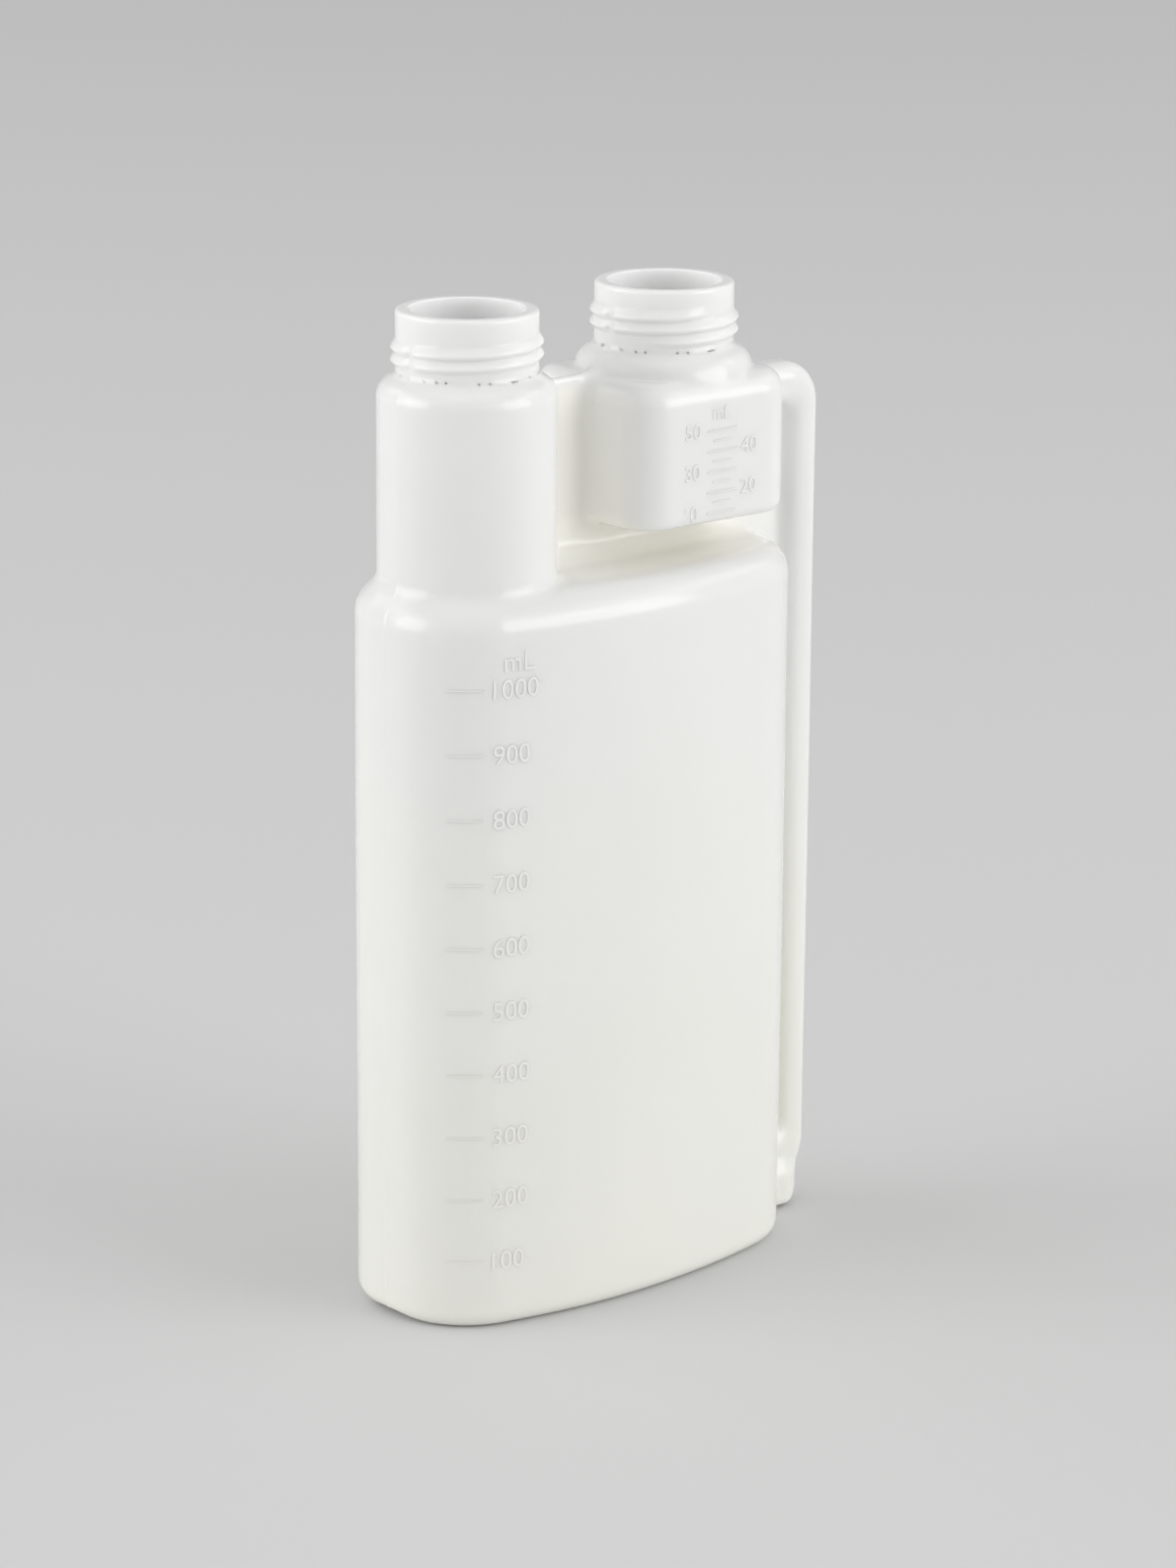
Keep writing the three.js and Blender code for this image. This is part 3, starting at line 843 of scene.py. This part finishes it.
CAMERA_AZIMUTH = -40.977
CAMERA_PITCH = 15.746
CAMERA_ROLL = 0.439
CAMERA_DISTANCE = 1283.0
CAMERA_ASIDE = 3.601
CAMERA_ABOVE = 2.992
AIM_HEIGHT = 125.0
FOCAL_PIXELS = 5179.0
IMAGE_HEIGHT = 1600.0
SENSOR = 36.0
TENT_COLOUR = (1.0, 1.0, 1.0)
TENT_STRENGTH = 0.6
TENT_SIDE_GAIN = 0.3
TENT_TOP_LOSS = 0.15
BACKDROP_COLOUR = (0.42, 0.42, 0.43)
FLOOR_HALF = 2.6
FLOOR_COLOUR = (0.68, 0.68, 0.68)
FLOOR_ROUGHNESS = 0.8
LAMP_AIM = Vector((0, 0, 0.12))

# Softboxes: turn in degrees from the camera's side, height, distance and (width, height) in
# metres, and power in watts
SOFTBOXES = {
    "right_softbox": (68, 1.05, 3.6, (2.8, 2.1), 50),
    "left_softbox": (-71, 1.05, 3.6, (2.8, 2.1), 50),
    "high_right_softbox": (90, 2.76, 3.6, (5.1, 1.5), 23),
    "high_left_softbox": (-95, 2.61, 3.6, (5.1, 1.5), 24),
    "top_softbox": (0, 1.5, 0.2, (1.0, 1.0), 1),
}


def camera_frame():
    azimuth = math.radians(CAMERA_AZIMUTH)
    pitch = math.radians(CAMERA_PITCH)
    roll = math.radians(CAMERA_ROLL)
    level = math.cos(pitch)
    forward = Vector((-math.sin(azimuth) * level, math.cos(azimuth) * level, -math.sin(pitch)))
    right = Vector((math.cos(azimuth), math.sin(azimuth), 0))
    up = right.cross(forward)
    turned_right = right * math.cos(roll) + up * math.sin(roll)
    turned_up = up * math.cos(roll) - right * math.sin(roll)
    place = Vector((0, 0, AIM_HEIGHT)) - forward * CAMERA_DISTANCE
    place += turned_right * CAMERA_ASIDE + turned_up * CAMERA_ABOVE
    return place, turned_right, turned_up, forward


def add_camera():
    place, right, up, forward = camera_frame()
    data = bpy.data.cameras.new("camera")
    data.sensor_fit = "VERTICAL"
    data.sensor_height = SENSOR
    data.lens = FOCAL_PIXELS / IMAGE_HEIGHT * SENSOR
    camera = bpy.data.objects.new("camera", data)
    bpy.context.scene.collection.objects.link(camera)
    matrix = camera.matrix_world.to_3x3()
    matrix.col[0] = right
    matrix.col[1] = up
    matrix.col[2] = -forward
    camera.matrix_world = matrix.to_4x4()
    camera.location = (place + Vector((shift_x, 0, 0))) * MM
    bpy.context.scene.camera = camera


def add_softbox(name, turn, height, distance, size, power):
    """A flat lamp that faces the bottle, turned from the camera's side about the Z axis."""
    azimuth = math.radians(-90 + CAMERA_AZIMUTH + turn)
    data = bpy.data.lights.new(name, "AREA")
    data.shape = "RECTANGLE"
    data.size, data.size_y = size
    data.energy = power
    lamp = bpy.data.objects.new(name, data)
    bpy.context.scene.collection.objects.link(lamp)
    lamp.location = (distance * math.cos(azimuth), distance * math.sin(azimuth), height)
    aim = LAMP_AIM - lamp.location
    lamp.rotation_euler = aim.to_track_quat("-Z", "Y").to_euler()
    lamp.visible_camera = False


def add_floor():
    mesh = bpy.data.meshes.new("floor")
    half = FLOOR_HALF
    corners = [(-half, -half, 0), (half, -half, 0), (half, half, 0), (-half, half, 0)]
    mesh.from_pydata(corners, [], [(0, 1, 2, 3)])
    floor = bpy.data.objects.new("floor", mesh)
    bpy.context.scene.collection.objects.link(floor)
    material = bpy.data.materials.new("floor_paper")
    material.use_nodes = True
    shader = material.node_tree.nodes["Principled BSDF"]
    shader.inputs["Base Color"].default_value = (*FLOOR_COLOUR, 1)
    shader.inputs["Roughness"].default_value = FLOOR_ROUGHNESS
    mesh.materials.append(material)


def set_world():
    """A white tent, brighter at its two sides, which camera and mirror rays see as plain grey."""
    world = bpy.data.worlds.new("world")
    world.use_nodes = True
    nodes, links = world.node_tree.nodes, world.node_tree.links
    light = nodes["Background"]
    light.inputs["Color"].default_value = (*TENT_COLOUR, 1)
    turn = math.radians(CAMERA_AZIMUTH)
    place = nodes.new("ShaderNodeTexCoord")
    along = nodes.new("ShaderNodeVectorMath")
    along.operation = "DOT_PRODUCT"
    along.inputs[1].default_value = (math.cos(turn), math.sin(turn), 0)
    square = nodes.new("ShaderNodeMath")
    square.operation = "POWER"
    square.inputs[1].default_value = 2
    gain = nodes.new("ShaderNodeMath")
    gain.operation = "MULTIPLY_ADD"
    gain.inputs[1].default_value = TENT_SIDE_GAIN
    gain.inputs[2].default_value = TENT_STRENGTH
    split = nodes.new("ShaderNodeSeparateXYZ")
    high = nodes.new("ShaderNodeMath")
    high.operation = "POWER"
    high.inputs[1].default_value = 2
    loss = nodes.new("ShaderNodeMath")
    loss.operation = "MULTIPLY_ADD"
    loss.inputs[1].default_value = -TENT_TOP_LOSS
    links.new(place.outputs["Generated"], along.inputs[0])
    links.new(along.outputs["Value"], square.inputs[0])
    links.new(square.outputs["Value"], gain.inputs[0])
    links.new(place.outputs["Generated"], split.inputs["Vector"])
    links.new(split.outputs["Z"], high.inputs[0])
    links.new(high.outputs["Value"], loss.inputs[0])
    links.new(gain.outputs["Value"], loss.inputs[2])
    links.new(loss.outputs["Value"], light.inputs["Strength"])
    shown = nodes.new("ShaderNodeBackground")
    shown.inputs["Color"].default_value = (*BACKDROP_COLOUR, 1)
    path = nodes.new("ShaderNodeLightPath")
    seen = None
    for ray in ("Is Camera Ray", "Is Glossy Ray", "Is Transmission Ray"):
        if seen is None:
            seen = path.outputs[ray]
            continue
        either = nodes.new("ShaderNodeMath")
        either.operation = "MAXIMUM"
        links.new(seen, either.inputs[0])
        links.new(path.outputs[ray], either.inputs[1])
        seen = either.outputs[0]
    mix = nodes.new("ShaderNodeMixShader")
    links.new(seen, mix.inputs["Fac"])
    links.new(light.outputs["Background"], mix.inputs[1])
    links.new(shown.outputs["Background"], mix.inputs[2])
    links.new(mix.outputs["Shader"], nodes["World Output"].inputs["Surface"])
    bpy.context.scene.world = world


add_camera()
add_floor()
set_world()
for lamp_name, settings in SOFTBOXES.items():
    add_softbox(lamp_name, *settings)

bpy.context.scene.view_settings.view_transform = "Standard"
